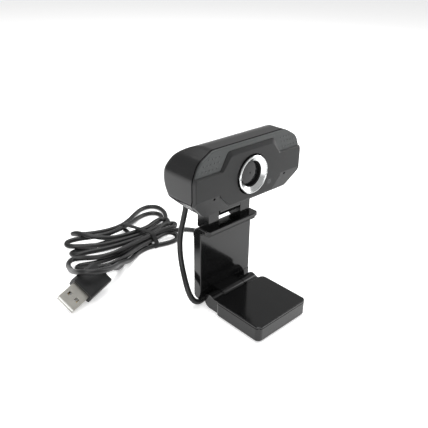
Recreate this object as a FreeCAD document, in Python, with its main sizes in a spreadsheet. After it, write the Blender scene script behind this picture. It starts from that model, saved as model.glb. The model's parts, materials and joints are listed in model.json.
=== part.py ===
import FreeCAD, Part
import math
import os

import Sketcher
from FreeCAD import Placement, Rotation, Vector

# Small webcam on a folding clip stand, with its USB lead.  Millimetres, +Z up, the front looks
# along -Y, +X is on the right seen from the front.  The origin is the middle of the rubber pad
# under the foot, on the table.

doc = FreeCAD.newDocument("webcam")
sheet = doc.addObject("Spreadsheet::Sheet", "Dims")

DIMENSIONS = [
    # foot, the lower jaw of the clip
    ("foot_width", 39.2, "foot across"),
    ("foot_depth", 33.5, "foot front to back"),
    ("foot_corner", 3.0, "foot corner radius in plan"),
    ("foot_low", 0.6, "underside of the tray above the table"),
    ("foot_wall", 1.6, "tray wall and floor"),
    ("tray_top", 8.7, "top edge of the tray"),
    ("cover_low", 9.1, "underside of the cover's rim"),
    ("foot_height", 10.2, "top of the foot"),
    ("cover_inset", 0.7, "cover's spigot set in from the rim"),
    ("pad_inset", 3.0, "rubber pad set in from the foot's edge"),
    ("pad_thick", 1.2, "rubber pad"),
    ("boss_radius", 2.3, "screw boss"),
    ("foot_screw_x", 12.0, "foot screws from the middle"),
    ("foot_screw_y", 4.0, "foot screws behind the middle"),
    # fold hinge between foot and upright
    ("fold_axis_y", 22.75, "fold axis behind the origin"),
    ("fold_axis_z", 5.4, "fold axis above the table"),
    ("knuckle_radius", 4.5, "hinge knuckles"),
    ("pin_radius", 1.2, "hinge pin"),
    ("running_gap", 0.05, "radial clearance on the pin"),
    ("left_out", -18.0, "left knuckle, outer end"),
    ("left_in", -10.3, "left knuckle, inner end"),
    ("middle_left", -9.8, "middle knuckle, left end"),
    ("middle_right", 6.7, "middle knuckle, right end"),
    ("right_in", 7.2, "right knuckle, inner end"),
    ("right_out", 17.6, "right knuckle, outer end"),
    ("washer_thick", 0.4, "friction washers"),
    # upright
    ("upright_width", 39.5, "upright across"),
    ("panel_face_y", 28.55, "front face of the upright"),
    ("panel_thick", 2.0, "glossy front panel"),
    ("upright_back_y", 34.95, "back face of the upright"),
    ("upright_low", 4.3, "bottom of the upright"),
    ("upright_heel", 2.4, "chamfer on the lower rear edge"),
    ("panel_low", 10.2, "bottom of the front panel"),
    ("panel_top", 47.0, "top of the front panel"),
    ("shell_wall", 1.5, "wall of the upright's rear shell"),
    ("shoulder_low", 44.0, "joint between rear shell and neck bracket"),
    # lip and ears
    ("lip_front_y", 22.35, "front edge of the lip"),
    ("lip_low", 48.8, "underside of the lip plate"),
    ("lip_top", 50.8, "top of the lip plate"),
    ("lip_corner", 2.6, "lip corner radius in plan"),
    ("shoulder_radius", 5.5, "rounding of the rear shoulder"),
    ("lip_pad_inset", 1.0, "lip pad set back from the lip"),
    ("ear_inner", 8.3, "inner face of an ear"),
    ("ear_outer", 15.8, "outer face of an ear"),
    ("ear_radius", 4.6, "rounded ear top"),
    ("tilt_axis_y", 30.95, "tilt axis behind the origin"),
    ("tilt_axis_z", 58.8, "tilt axis above the table"),
    ("tilt_radius", 1.3, "tilt screw shank"),
    ("arm_half", 7.7, "half width of the tilt arm"),
    ("arm_radius", 5.0, "round end of the tilt arm"),
    ("arm_front_y", 27.4, "front of the arm's neck"),
    ("arm_back_y", 34.5, "back of the arm's neck"),
    ("arm_plate_z", 77.4, "underside of the arm's plate"),
    # head
    ("head_half", 38.2, "half width of the head"),
    ("head_low", 66.9, "bottom of the head"),
    ("head_top", 101.0, "top of the head"),
    ("face_y", 10.75, "front face of the raised panel"),
    ("trim_y", 11.85, "front face of the upper trim"),
    ("trim_back_y", 12.7, "back of the upper trim"),
    ("face_back_y", 13.4, "back of the face panel"),
    ("shell_front_y", 14.1, "front rim of the rear housing"),
    ("head_back_y", 37.6, "rearmost point of the head"),
    ("head_wall", 1.8, "wall of the head"),
    ("crease_z", 77.6, "height below which the face leans back"),
    ("chin_back", 3.5, "how far back the face's bottom edge is"),
    ("shoulder_x", 26.0, "where the head's shoulders start"),
    ("shoulder_z", 88.0, "where the head's shoulders end"),
    ("chin_x", 30.6, "where the flat bottom ends"),
    ("chin_z", 75.0, "where the bottom corners end"),
    # lens
    ("lens_z", 82.8, "height of the lens axis"),
    ("ring_hole", 10.9, "hole in the face for the focus ring"),
    ("ring_radius", 10.2, "focus ring outside"),
    ("ring_front_y", 9.35, "front rim of the focus ring"),
    ("ring_mouth", 9.6, "funnel radius at the rim"),
    ("ring_throat", 7.1, "funnel radius at its inner edge"),
    ("throat_y", 11.2, "depth of the funnel's inner edge"),
    ("ring_back_y", 14.6, "rear edge of the focus ring"),
    ("barrel_radius", 6.0, "threaded part of the lens barrel"),
    ("board_y", 23.6, "front face of the circuit board"),
    ("board_thick", 1.6, "circuit board"),
    ("mic_x", 26.0, "microphone holes from the middle"),
    ("mic_z", 76.3, "height of the microphone holes"),
    ("mic_hole", 0.75, "microphone hole radius"),
    ("light_x", 13.5, "status light from the middle"),
    ("light_z", 75.0, "height of the status light"),
    ("light_radius", 1.6, "status light window"),
    # lead
    ("cable_dia", 3.3, "cable diameter"),
    ("shell_width", 12.0, "plug shell across"),
    ("shell_height", 4.5, "plug shell thickness"),
    ("shell_length", 12.2, "plug shell in front of its grip"),
    ("grip_width", 16.0, "plug grip across"),
    ("grip_height", 8.0, "plug grip thickness"),
    ("grip_length", 17.5, "plug grip length"),
    ("collar_length", 2.5, "collar behind the grip"),
    ("collar_radius", 2.5, "collar round the cable"),
    ("plug_wall", 0.35, "sheet of the plug shell"),
    ("latch_x", 6.8, "latch holes in front of the grip"),
    ("latch_y", 2.6, "latch holes from the shell's middle"),
    ("tongue_top", 0.1, "contact face above the shell's middle"),
    ("hank_height", 10.0, "folded lead, top above the table"),
    ("tie_x", 0.5, "tie across the hank, right of the middle"),
    ("tie_width", 3.6, "tie strap"),
    ("tie_thick", 0.6, "tie strap"),
]

sheet.set("A1", "Dimension")
sheet.set("B1", "mm")
sheet.set("C1", "Meaning")
for row, (alias, value, meaning) in enumerate(DIMENSIONS, start=2):
    sheet.set("A%d" % row, alias)
    sheet.set("B%d" % row, str(value))
    sheet.setAlias("B%d" % row, alias)
    sheet.set("C%d" % row, meaning)
doc.recompute()

D = {alias: float(sheet.get(alias)) for alias, _, _ in DIMENSIONS}
pieces = []


# ---------------------------------------------------------------- sizes bound to the sheet

class Size:
    """A number together with the sheet expression that gives it."""

    def __init__(self, number, text):
        self.number = number
        self.text = text

    def __add__(self, other):
        other = size(other)
        return Size(self.number + other.number, "(%s + %s)" % (self.text, other.text))

    def __sub__(self, other):
        other = size(other)
        return Size(self.number - other.number, "(%s - %s)" % (self.text, other.text))

    def __mul__(self, factor):
        return Size(self.number * factor, "(%s * (%s))" % (self.text, factor))

    def __neg__(self):
        return self * -1

    __radd__ = __add__


def size(item):
    """A dimension by name, or a plain number, as a Size."""
    if isinstance(item, Size):
        return item
    if isinstance(item, str):
        return Size(D[item], "Dims." + item)
    return Size(float(item), "(%s)" % float(item))


def bind(thing, prop, amount):
    """Set a property now and keep it bound to the sheet."""
    amount = size(amount)
    thing.setExpression(prop, amount.text)


# ---------------------------------------------------------------- PartDesign helpers
# A plane's outline is given in the model's own axes: (x, y) on XY, (x, z) on XZ, (y, z) on YZ,
# and low and high are where the feature starts and ends along the remaining axis.

def new_body(label):
    body = doc.addObject("PartDesign::Body", label)
    body.Label = label
    pieces.append(body)
    return body


def sketch_on(body, plane, offset, name):
    sketch = body.newObject("Sketcher::SketchObject", name)
    origin = [f for f in body.Origin.OriginFeatures if f.Role == plane + "_Plane"][0]
    sketch.AttachmentSupport = (origin, [""])
    sketch.MapMode = "FlatFace"
    bind(sketch, "AttachmentOffset.Base.z", offset)
    return sketch


def pin_point(sketch, curve, end, point):
    """Hold one end of a curve at a point whose two coordinates are bound to the sheet."""
    for kind, amount in (("DistanceX", point[0]), ("DistanceY", point[1])):
        amount = size(amount)
        index = sketch.addConstraint(Sketcher.Constraint(kind, -1, 1, curve, end, amount.number))
        sketch.setExpression("Constraints[%d]" % index, amount.text)


def draw_polygon(sketch, points):
    count = len(points)
    corners = [Vector(size(u).number, size(v).number, 0) for u, v in points]
    for i in range(count):
        sketch.addGeometry(Part.LineSegment(corners[i], corners[(i + 1) % count]), False)
    for i in range(count):
        sketch.addConstraint(Sketcher.Constraint("Coincident", i, 2, (i + 1) % count, 1))
        pin_point(sketch, i, 1, points[i])


def draw_circle(sketch, centre, radius):
    radius = size(radius)
    middle = Vector(size(centre[0]).number, size(centre[1]).number, 0)
    sketch.addGeometry(Part.Circle(middle, Vector(0, 0, 1), radius.number), False)
    pin_point(sketch, 0, 3, centre)
    index = sketch.addConstraint(Sketcher.Constraint("Radius", 0, radius.number))
    sketch.setExpression("Constraints[%d]" % index, radius.text)


def extrude(body, plane, draw, low, high, kind):
    """Pad or pocket between low and high; XZ sketches look along -Y, the others along +."""
    low, high = size(low), size(high)
    near, far = (-high, -low) if plane == "XZ" else (low, high)
    start = near if kind == "Pad" else far
    sketch = sketch_on(body, plane, start, body.Label + "_outline")
    draw(sketch)
    feature = body.newObject("PartDesign::" + kind, body.Label + "_" + kind.lower())
    feature.Profile = sketch
    bind(feature, "Length", far - near)
    return feature


def add(body, plane, points, low, high):
    return extrude(body, plane, lambda s: draw_polygon(s, points), low, high, "Pad")


def carve(body, plane, points, low, high):
    return extrude(body, plane, lambda s: draw_polygon(s, points), low, high, "Pocket")


def add_round(body, plane, centre, radius, low, high):
    return extrude(body, plane, lambda s: draw_circle(s, centre, radius), low, high, "Pad")


def carve_round(body, plane, centre, radius, low, high):
    return extrude(body, plane, lambda s: draw_circle(s, centre, radius), low, high, "Pocket")


def box_outline(u_low, u_high, v_low, v_high):
    return [(u_low, v_low), (u_high, v_low), (u_high, v_high), (u_low, v_high)]


def round_edges(body, radius, wanted, kind="Fillet"):
    """Fillet or chamfer the edges of the body so far whose middle and direction are wanted."""
    doc.recompute()
    base = body.Tip
    names = []
    for number, edge in enumerate(base.Shape.Edges, start=1):
        middle = edge.valueAt((edge.FirstParameter + edge.LastParameter) / 2.0)
        along = edge.tangentAt((edge.FirstParameter + edge.LastParameter) / 2.0)
        if wanted(middle, along):
            names.append("Edge%d" % number)
    feature = body.newObject("PartDesign::" + kind, body.Label + "_" + kind.lower())
    feature.Base = (base, names)
    bind(feature, "Radius" if kind == "Fillet" else "Size", radius)
    return feature


def turned(label, points, plane_x=0.0):
    """A body of revolution about the lens axis; points are (y, radius)."""
    body = new_body(label)
    sketch = sketch_on(body, "YZ", plane_x, label + "_section")
    bind(sketch, "AttachmentOffset.Base.y", "lens_z")
    draw_polygon(sketch, points)
    feature = body.newObject("PartDesign::Revolution", label + "_turn")
    feature.Profile = sketch
    feature.ReferenceAxis = (sketch, ["H_Axis"])
    feature.Angle = 360.0
    return body


# ---------------------------------------------------------------- Part helpers

AXES = {
    "x": Rotation(Vector(0, 1, 0), 90),
    "y": Rotation(Vector(1, 0, 0), -90),
    "z": Rotation(),
}


def cylinder(label, axis, start, length, radius, radius_end=None):
    """A cylinder, or a cone, that starts at a point and runs along +axis."""
    kind = "Part::Cylinder" if radius_end is None else "Part::Cone"
    thing = doc.addObject(kind, label)
    thing.Placement = Placement(Vector(), AXES[axis])
    if radius_end is None:
        bind(thing, "Radius", radius)
    else:
        bind(thing, "Radius1", radius)
        bind(thing, "Radius2", radius_end)
    bind(thing, "Height", length)
    for letter, amount in zip("xyz", start):
        bind(thing, "Placement.Base." + letter, amount)
    return thing


def block(label, x, y, z):
    """A box from its (low, high) pairs."""
    thing = doc.addObject("Part::Box", label)
    for prop, letter, (low, high) in zip(("Length", "Width", "Height"), "xyz", (x, y, z)):
        bind(thing, prop, size(high) - size(low))
        bind(thing, "Placement.Base." + letter, low)
    return thing


def fused(label, things):
    joined = doc.addObject("Part::MultiFuse", label)
    joined.Shapes = things
    return joined


def less(label, base, tool):
    result = doc.addObject("Part::Cut", label)
    result.Base = base
    result.Tool = tool
    return result


def grouped(label, things):
    """Equal pieces that share one node, each its own solid."""
    group = doc.addObject("Part::Compound", label)
    group.Links = things
    return named(group, label)


def named(thing, label):
    thing.Label = label
    pieces.append(thing)
    return thing


def coded(label, shape):
    """A piece whose curved shape is worked out here from the sheet's numbers."""
    thing = doc.addObject("Part::Feature", label)
    thing.Shape = shape
    return named(thing, label)


def screw(label, axis, sign, seat, head_radius, head_height, shank_radius, shank_length):
    """A pan-head screw: the shank runs from the seat along the axis, the head lies behind it."""
    place = "xyz".index(axis)

    def span(near, far):
        """Where a stretch that runs from near to far beyond the seat starts."""
        start = list(seat)
        start[place] = size(seat[place]) + (near if sign > 0 else size(far) * -1)
        return start

    head_height, shank_length = size(head_height), size(shank_length)
    head = cylinder(label + "_head", axis, span(head_height * -1, 0), head_height, head_radius)
    shank = cylinder(label + "_shank", axis, span(-0.2, shank_length), shank_length + 0.2, shank_radius)
    outside = size(seat[place]).number - sign * head_height.number
    bars = []
    for long_axis in (0, 1, 2):
        if long_axis == place:
            continue
        limits = []
        for number in (0, 1, 2):
            middle = size(seat[number]).number
            reach = 0.62 * head_radius if number == long_axis else 0.3
            if number == place:
                limits.append(tuple(sorted((outside - sign * 0.1, outside + sign * 0.5))))
            else:
                limits.append((middle - reach, middle + reach))
        bars.append(block(label + "_slot", *limits))
    blank = fused(label + "_blank", [head, shank])
    return less(label + "_screw", blank, fused(label + "_cross", bars))


# ---------------------------------------------------------------- foot

half_foot = size("foot_width") * 0.5
half_depth = size("foot_depth") * 0.5


def plan_corner(limit_x, limit_y):
    """Upright edges at the four corners of a plan outline."""
    def wanted(middle, along):
        at_corner = abs(abs(middle.x) - limit_x) < 0.05 and abs(abs(middle.y) - limit_y) < 0.05
        return at_corner and abs(along.z) > 0.99
    return wanted


def make_foot_base():
    body = new_body("foot_base")
    add(body, "XY", box_outline(-half_foot, half_foot, -half_depth, half_depth), "foot_low", "tray_top")
    round_edges(body, "foot_corner", plan_corner(half_foot.number, half_depth.number))
    round_edges(body, 1.0, lambda m, a: abs(m.z - D["foot_low"]) < 0.01)
    wall = size("foot_wall")
    inner = box_outline(wall - half_foot, half_foot - wall, wall - half_depth, half_depth - wall)
    carve(body, "XY", inner, size("foot_low") + wall, "tray_top")
    inset = size("pad_inset")
    recess = box_outline(inset - half_foot, half_foot - inset, inset - half_depth, half_depth - inset)
    carve(body, "XY", recess, "foot_low", "pad_thick")
    for side in (-1, 1):
        centre = (size("foot_screw_x") * side, "foot_screw_y")
        add_round(body, "XY", centre, "boss_radius", "pad_thick", size("cover_low") - 2.0)
    axis = ("fold_axis_y", "fold_axis_z")
    radius = size("knuckle_radius")
    for low, high in (("left_out", "left_in"), ("right_in", "right_out")):
        web = box_outline(half_depth - 1.0, "fold_axis_y", size(axis[1]) - radius, "tray_top")
        add(body, "YZ", web, low, high)
        add_round(body, "YZ", axis, radius, low, high)
    bore = size("pin_radius") + size("running_gap")
    carve_round(body, "YZ", axis, bore, size("left_out") + 1.2, size("right_out") - 1.2)
    for side in (-1, 1):
        centre = (size("foot_screw_x") * side, "foot_screw_y")
        carve_round(body, "XY", centre, 1.1, 0, size("cover_low") - 1.0)
        carve_round(body, "XY", centre, 2.0, 0, size("pad_thick") + 1.0)
    return body


def make_foot_cover():
    body = new_body("foot_cover")
    add(body, "XY", box_outline(-half_foot, half_foot, -half_depth, half_depth), "cover_low", "foot_height")
    round_edges(body, "foot_corner", plan_corner(half_foot.number, half_depth.number))
    round_edges(body, 0.45, lambda m, a: abs(m.z - D["foot_height"]) < 0.01)
    inset = size("cover_inset")
    spigot = box_outline(inset - half_foot, half_foot - inset, inset - half_depth, half_depth - inset)
    add(body, "XY", spigot, "tray_top", "cover_low")
    wall = size("foot_wall") + 0.1
    plug = box_outline(wall - half_foot, half_foot - wall, wall - half_depth, half_depth - wall)
    add(body, "XY", plug, size("tray_top") - 0.8, "tray_top")
    for side in (-1, 1):
        centre = (size("foot_screw_x") * side, "foot_screw_y")
        carve_round(body, "XY", centre, size("boss_radius") + 0.1, 0, size("cover_low") - 1.0)
        carve_round(body, "XY", centre, 0.9, 0, size("cover_low"))
    return body


def make_foot_pad():
    body = new_body("foot_pad")
    inset = size("pad_inset") + 0.1
    edge_x, edge_y = half_foot - inset, half_depth - inset
    add(body, "XY", box_outline(-edge_x, edge_x, -edge_y, edge_y), 0, "pad_thick")
    round_edges(body, 1.5, plan_corner(edge_x.number, edge_y.number))
    return body


def make_foot_screws():
    screws = []
    for side in (-1, 1):
        seat = (size("foot_screw_x") * side, "foot_screw_y", size("pad_thick") + 1.0)
        screws.append(screw("foot", "z", 1, seat, 1.8, 0.9, 0.9, 5.6))
    return grouped("foot_screws", screws)


# ---------------------------------------------------------------- fold hinge

def make_fold_pin():
    low = size("left_out") + 1.3
    pin = cylinder("fold_pin", "x", (low, "fold_axis_y", "fold_axis_z"),
                   size("right_out") - 1.3 - low, "pin_radius")
    return named(pin, "fold_pin")


def make_fold_washers():
    washers = []
    for low, high in (("left_in", "middle_left"), ("middle_right", "right_in")):
        thick = size("washer_thick")
        start = (size(low) + size(high) - thick) * 0.5
        disc = cylinder("washer", "x", (start, "fold_axis_y", "fold_axis_z"), thick, 3.6)
        hole = cylinder("washer_hole", "x", (start - 1, "fold_axis_y", "fold_axis_z"), thick + 2,
                        size("pin_radius") + 0.02)
        washers.append(less("fold_washer", disc, hole))
    return grouped("fold_washers", washers)


# ---------------------------------------------------------------- upright

half_up = size("upright_width") * 0.5
PANEL_SCREWS_Z = (20.0, 36.0)


def make_upright_shell():
    body = new_body("upright_shell")
    split_y = size("panel_face_y") + size("panel_thick")
    low, heel = size("upright_low"), size("upright_heel")
    back = size("upright_back_y")
    side = [("panel_face_y", low), (back - heel, low), (back, low + heel), (back, "shoulder_low"),
            (split_y, "shoulder_low"), (split_y, "panel_low"), ("panel_face_y", "panel_low")]
    add(body, "YZ", side, -half_up, half_up)
    round_edges(body, 1.2, lambda m, a: abs(m.y - D["upright_back_y"]) < 0.01 and abs(a.z) > 0.99)
    wall = size("shell_wall")
    hollow = box_outline(wall - half_up, half_up - wall, size("panel_low") + wall, "shoulder_low")
    carve(body, "XZ", hollow, split_y, back - wall)
    axis = ("fold_axis_y", "fold_axis_z")
    arm = box_outline("fold_axis_y", size("panel_face_y") + 1.0,
                      low + 0.2, size(axis[1]) + size("knuckle_radius"))
    add(body, "YZ", arm, "middle_left", "middle_right")
    add_round(body, "YZ", axis, "knuckle_radius", "middle_left", "middle_right")
    carve_round(body, "YZ", axis, "pin_radius", "middle_left", "middle_right")
    for z in PANEL_SCREWS_Z:
        add_round(body, "XZ", (0, z), "boss_radius", split_y, back - wall)
    for z in PANEL_SCREWS_Z:
        carve_round(body, "XZ", (0, z), 1.0, split_y, back)
        carve_round(body, "XZ", (0, z), 2.0, back - 1.2, back)
    return body


def make_front_panel():
    body = new_body("front_panel")
    split_y = size("panel_face_y") + size("panel_thick")
    add(body, "XZ", box_outline(-half_up, half_up, "panel_low", "panel_top"), "panel_face_y", split_y)
    round_edges(body, 0.5, lambda m, a: abs(m.y - D["panel_face_y"]) < 0.01)
    for z in PANEL_SCREWS_Z:
        carve_round(body, "XZ", (0, z), 0.8, size("panel_face_y") + 0.6, split_y)
    return body


def make_panel_screws():
    screws = []
    for z in PANEL_SCREWS_Z:
        seat = (0, size("upright_back_y") - 1.2, z)
        screws.append(screw("panel", "y", -1, seat, 1.8, 0.9, 0.8, 4.4))
    return grouped("panel_screws", screws)


# ---------------------------------------------------------------- neck

def make_neck_bracket():
    body = new_body("neck_bracket")
    back = size("upright_back_y")
    split_y = size("panel_face_y") + size("panel_thick")
    side = [("lip_front_y", "lip_low"), ("panel_face_y", "lip_low"), ("panel_face_y", "panel_top"),
            (split_y, "panel_top"), (split_y, "shoulder_low"),
            (back, "shoulder_low"), (back, "lip_top"), ("lip_front_y", "lip_top")]
    add(body, "YZ", side, -half_up, half_up)
    round_edges(body, "lip_corner",
                lambda m, a: abs(m.y - D["lip_front_y"]) < 0.01 and abs(a.z) > 0.99)
    round_edges(body, "shoulder_radius",
                lambda m, a: abs(m.y - back.number) < 0.01 and abs(m.z - D["lip_top"]) < 0.01)
    round_edges(body, 0.6, lambda m, a: abs(m.z - D["lip_top"]) < 0.01 and m.y < back.number - 6)
    axis = ("tilt_axis_y", "tilt_axis_z")
    radius = size("ear_radius")
    for inner, outer in ((-size("ear_outer"), -size("ear_inner")), ("ear_inner", "ear_outer")):
        post = box_outline(size(axis[0]) - radius, size(axis[0]) + radius, "lip_low", axis[1])
        add(body, "YZ", post, inner, outer)
        add_round(body, "YZ", axis, radius, inner, outer)
    carve_round(body, "YZ", axis, "tilt_radius", -size("ear_outer"), "ear_outer")
    carve_round(body, "YZ", axis, 2.6, size("ear_outer") - 1.4, "ear_outer")
    carve(body, "YZ", hexagon(*axis, NUT_FLATS + 0.1), -size("ear_outer"), size("ear_outer") * -1 + 2.3)
    return body


NUT_FLATS = 5.0


def hexagon(centre_y, centre_z, across_flats):
    reach = across_flats / math.sqrt(3.0)
    corners = []
    for turn in range(6):
        angle = math.radians(60 * turn)
        corners.append((size(centre_y) + reach * math.cos(angle), size(centre_z) + reach * math.sin(angle)))
    return corners


def make_lip_pad():
    body = new_body("lip_pad")
    edge = half_up - size("lip_pad_inset")
    front = size("lip_front_y") + size("lip_pad_inset")
    add(body, "XY", box_outline(-edge, edge, front, "panel_face_y"), "panel_top", "lip_low")
    round_edges(body, size("lip_corner") - 0.8,
                lambda m, a: abs(m.y - front.number) < 0.01 and abs(a.z) > 0.99)
    return body


def make_tilt_hardware():
    axis = ("tilt_axis_y", "tilt_axis_z")
    outer = size("ear_outer")
    head = cylinder("tilt_head", "x", (outer - 1.4, *axis), 1.2, 2.4)
    shank = cylinder("tilt_shank", "x", (-outer + 2.2, *axis), outer * 2 - 3.4, "tilt_radius")
    slot = block("tilt_slot", (outer - 0.7, outer), (size(axis[0]) - 0.35, size(axis[0]) + 0.35),
                 (size(axis[1]) - 1.8, size(axis[1]) + 1.8))
    named(less("tilt_screw", fused("tilt_blank", [head, shank]), slot), "tilt_screw")
    nut = new_body("tilt_nut")
    add(nut, "YZ", hexagon(*axis, NUT_FLATS), -outer + 0.2, -outer + 2.2)
    carve_round(nut, "YZ", axis, 1.0, -outer + 0.2, -outer + 2.2)
    washers = []
    gap = size("ear_inner") - size("arm_half")
    for side in (-1, 1):
        start = size("arm_half") + 0.05 if side > 0 else -size("ear_inner") + 0.05
        disc = cylinder("tilt_disc", "x", (start, *axis), gap - 0.1, 3.4)
        hole = cylinder("tilt_hole", "x", (start - 1, *axis), 3, size("tilt_radius") + 0.02)
        washers.append(less("tilt_washer", disc, hole))
    grouped("tilt_washers", washers)


# ---------------------------------------------------------------- head

def rounded_path(points, radii, closed):
    """A wire through corner points, each corner an arc tangent to the straights beside it."""
    count = len(points)
    edges = []
    leave = None
    first_arrival = None
    for i in range(count + 1 if closed else count):
        here = points[i % count]
        if not closed and i in (0, count - 1):
            arrive, depart = here, here
            arc = None
        else:
            before = (here - points[(i - 1) % count]).normalize()
            after = (points[(i + 1) % count] - here).normalize()
            half_turn = before.getAngle(after) / 2.0
            radius = radii[i % count]
            setback = radius * math.tan(half_turn)
            arrive, depart = here - before * setback, here + after * setback
            inward = (after - before).normalize()
            middle = here + inward * (radius / math.cos(half_turn) - radius)
            arc = Part.Arc(arrive, middle, depart).toShape() if radius > 0 else None
        if leave is not None and (arrive - leave).Length > 1e-6:
            edges.append(Part.LineSegment(leave, arrive).toShape())
        if arc is not None and not (closed and i == count):
            edges.append(arc)
        leave = depart
    return Part.Wire(edges)


def front_outline(half_points):
    """A closed wire on y = 0 from right-hand corners (x, z, radius), top to bottom, and mirrored."""
    corners = half_points + [(-x, z, radius) for x, z, radius in reversed(half_points)]
    points = [Vector(x, 0, z) for x, z, _ in corners]
    return rounded_path(points, [radius for _, _, radius in corners], True)


def solid_between(wire, front, back):
    """A wire on y = 0 made solid between two depths."""
    face = Part.Face(wire)
    face.translate(Vector(0, front, 0))
    return face.extrude(Vector(0, back - front, 0))


def head_slab(inset, front, back):
    """The front outline made solid: sloping shoulders above, cut corners below."""
    half, top, low = D["head_half"] - inset, D["head_top"] - inset, D["head_low"] + inset
    slack = inset * 0.4
    corners = [
        (D["shoulder_x"] - slack, top, 6.0 - inset),
        (half - 3.2 - slack, D["shoulder_z"] + 8.0 - slack, 9.0 - inset),
        (half, D["shoulder_z"] - slack, 9.0 - inset),
        (half, D["chin_z"] + slack, 3.5 - inset),
        (D["chin_x"] - slack, low, 3.5 - inset),
    ]
    return solid_between(front_outline(corners), front, back)


def head_bar(inset, front):
    """The head seen from the side made solid across: flat front, rounded back."""
    crown_y, belly_y = 20.0, 18.0
    widest_z = 84.0
    top, low, back = D["head_top"] - inset, D["head_low"] + inset, D["head_back_y"] - inset

    def quarter(centre_y, end_z):
        """An elliptical quarter from the rearmost point to the top or the bottom."""
        across, up = back - centre_y, end_z - widest_z
        centre = Vector(0, centre_y, widest_z)
        if across >= abs(up):
            curve = Part.Ellipse(centre + Vector(0, across, 0), centre + Vector(0, 0, up), centre)
        else:
            curve = Part.Ellipse(centre + Vector(0, 0, up), centre + Vector(0, -across, 0), centre)
        start = curve.parameter(Vector(0, back, widest_z))
        stop = curve.parameter(Vector(0, centre_y, end_z))
        first, last = min(start, stop), max(start, stop)
        if last - first > math.pi:
            first, last = last - 2 * math.pi, first
        return Part.ArcOfEllipse(curve, first, last).toShape()

    edges = [
        quarter(crown_y, top),
        quarter(belly_y, low),
        Part.LineSegment(Vector(0, crown_y, top), Vector(0, front, top)).toShape(),
        Part.LineSegment(Vector(0, front, top), Vector(0, front, low)).toShape(),
        Part.LineSegment(Vector(0, front, low), Vector(0, belly_y, low)).toShape(),
    ]
    face = Part.Face(Part.Wire(Part.__sortEdges__(edges)))
    face.translate(Vector(-60, 0, 0))
    return face.extrude(Vector(120, 0, 0))


def edges_where(shape, wanted):
    """Edges of a shape whose middle point and bounding box are wanted."""
    found = []
    for edge in shape.Edges:
        middle = edge.valueAt((edge.FirstParameter + edge.LastParameter) / 2.0)
        if wanted(middle, edge.BoundBox):
            found.append(edge)
    return found


def drilled(shape, centres, radius, front, back):
    """Round holes along Y through a shape at the given (x, z) centres."""
    for x, z in centres:
        hole = Part.makeCylinder(radius, back - front, Vector(x, front, z), Vector(0, 1, 0))
        shape = shape.cut(hole)
    return shape


def upper_outline(step_x, step_z, crest_x, crest_z):
    """The outline, on y = 0, of everything above the raised panel's stepped top edge."""
    corners = [
        Vector(-60, 0, step_z), Vector(-step_x, 0, step_z), Vector(-crest_x, 0, crest_z),
        Vector(crest_x, 0, crest_z), Vector(step_x, 0, step_z), Vector(60, 0, step_z),
        Vector(60, 0, 120), Vector(-60, 0, 120),
    ]
    return rounded_path(corners, [0, 1.5, 3.0, 3.0, 1.5, 0, 0, 0], True)


TRIM_EDGE = (21.6, 89.7, 16.6, 98.5)
BEVEL_EDGE = (20.6, 89.1, 15.2, 96.1)
BEVEL_DEPTH = 0.9


BOARD_SCREWS = [(22.0, 94.0), (-22.0, 94.0), (19.5, 77.0), (-19.5, 77.0)]
ARM_SCREWS_X = (-10.6, 10.6)
ARM_SCREW_Y = 30.0
EXIT_ANGLE = math.radians(38.0)
EXIT_X = -17.0
GROMMET_REACH = 8.0


def chin_wedge(depth):
    """Everything in front of the plane that leans back below the crease, from y = depth there."""
    crease, low = D["crease_z"], D["head_low"] - 5.0
    slope = D["chin_back"] / (crease - D["head_low"])
    corners = [Vector(-60, depth, crease), Vector(-60, depth + slope * (crease - low), low),
               Vector(-60, depth - 10, low), Vector(-60, depth - 10, crease), Vector(-60, depth, crease)]
    return Part.Face(Part.makePolygon(corners)).extrude(Vector(120, 0, 0))


# half the outline of the raised middle of the face, which stays upright below the crease
MIDDLE_EDGE = [(22.4, 77.6), (21.7, 75.7), (16.4, 70.9), (15.6, 70.1)]


def make_rear_housing():
    front, back, wall = D["shell_front_y"], D["head_back_y"] + 5, D["head_wall"]
    outer = head_bar(0, front).common(head_slab(0, front - 1, back))
    rim = edges_where(outer, lambda m, box: box.YMax > front + 3 and not (box.YLength > 5 and
                                                                         box.XLength + box.ZLength < 0.1))
    outer = outer.makeFillet(3.5, rim)
    cavity = head_bar(wall, front - 1).common(head_slab(wall, front - 2, back))
    shell = outer.cut(cavity).cut(chin_wedge(front))
    for x in ARM_SCREWS_X:
        boss = Part.makeCylinder(2.0, D["arm_plate_z"] - D["head_low"], Vector(x, ARM_SCREW_Y, D["head_low"]))
        shell = shell.fuse(boss.common(outer))
        shell = shell.cut(Part.makeCylinder(0.8, 6.0, Vector(x, ARM_SCREW_Y, D["arm_plate_z"] - 6.0)))
    gap = 0.3
    slot = Part.makeBox(2 * (D["arm_half"] + gap), D["arm_back_y"] - D["arm_front_y"] + 2 * gap, 23.0,
                        Vector(-D["arm_half"] - gap, D["arm_front_y"] - gap, D["head_low"] - 10.0))
    shell = shell.cut(slot)
    outlet, outward = cable_outlet()
    shell = shell.cut(Part.makeCylinder(2.6, 8.0, outlet - outward * 5.0, outward))
    return coded("rear_housing", shell.removeSplitter())


def cable_outlet():
    """Where the cable leaves the head, on its lower back, and which way."""
    belly_y, widest_z = 18.0, 84.0
    across, down = D["head_back_y"] - belly_y, widest_z - D["head_low"]
    outlet = Vector(EXIT_X, belly_y + across * math.cos(EXIT_ANGLE), widest_z - down * math.sin(EXIT_ANGLE))
    outward = Vector(0, math.cos(EXIT_ANGLE) / across, -math.sin(EXIT_ANGLE) / down).normalize()
    return outlet, outward


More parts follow.
